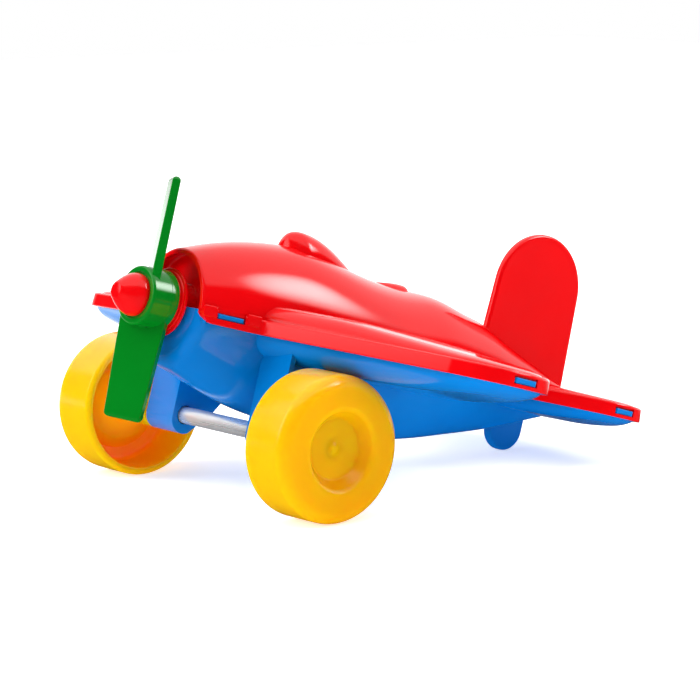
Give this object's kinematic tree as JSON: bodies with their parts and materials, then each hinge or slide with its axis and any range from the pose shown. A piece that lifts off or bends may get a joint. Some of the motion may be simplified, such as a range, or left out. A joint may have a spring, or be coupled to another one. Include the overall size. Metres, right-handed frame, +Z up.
{
  "type": "toy airplane",
  "caption": "Low-wing push-along toy airplane with a turning propeller, free-rolling wheels on a steel axle and a tail skid.",
  "frame": {"origin": "floor point under the middle of the bounding box", "axes": "+X to the airplane's left wing, -Y towards the nose, +Z up; wheels and tail skid stand on z = 0"},
  "size_m": [0.2314, 0.2162, 0.1127],
  "materials": {
    "red_plastic": "glossy moulded red",
    "blue_plastic": "glossy moulded blue",
    "yellow_plastic": "glossy moulded yellow",
    "green_plastic": "glossy moulded green",
    "white_plastic": "plain moulded white",
    "steel": "bare drawn steel rod"
  },
  "bodies": {
    "airframe": {"upper_shell": "red_plastic", "fin": "red_plastic", "lower_shell": "blue_plastic", "snap_hooks": "blue_plastic", "leg_left": "blue_plastic", "leg_right": "blue_plastic", "tail_skid": "blue_plastic", "prop_collar": "red_plastic"},
    "wheelset": {"axle": "steel", "wheel_left": "yellow_plastic", "wheel_right": "yellow_plastic"},
    "rotor": {"propeller": "green_plastic", "spinner": "red_plastic", "shaft_clip": "white_plastic"}
  },
  "joints": [
    {"name": "axle_spin", "type": "hinge", "parent": "airframe", "child": "wheelset", "pos_m": [0, -0.06105, 0.025], "axis": [1, 0, 0], "continuous": true},
    {"name": "prop_spin", "type": "hinge", "parent": "airframe", "child": "rotor", "pos_m": [0, -0.09125, 0.07132], "axis": [0, 0.9613, -0.2756], "continuous": true}
  ]
}
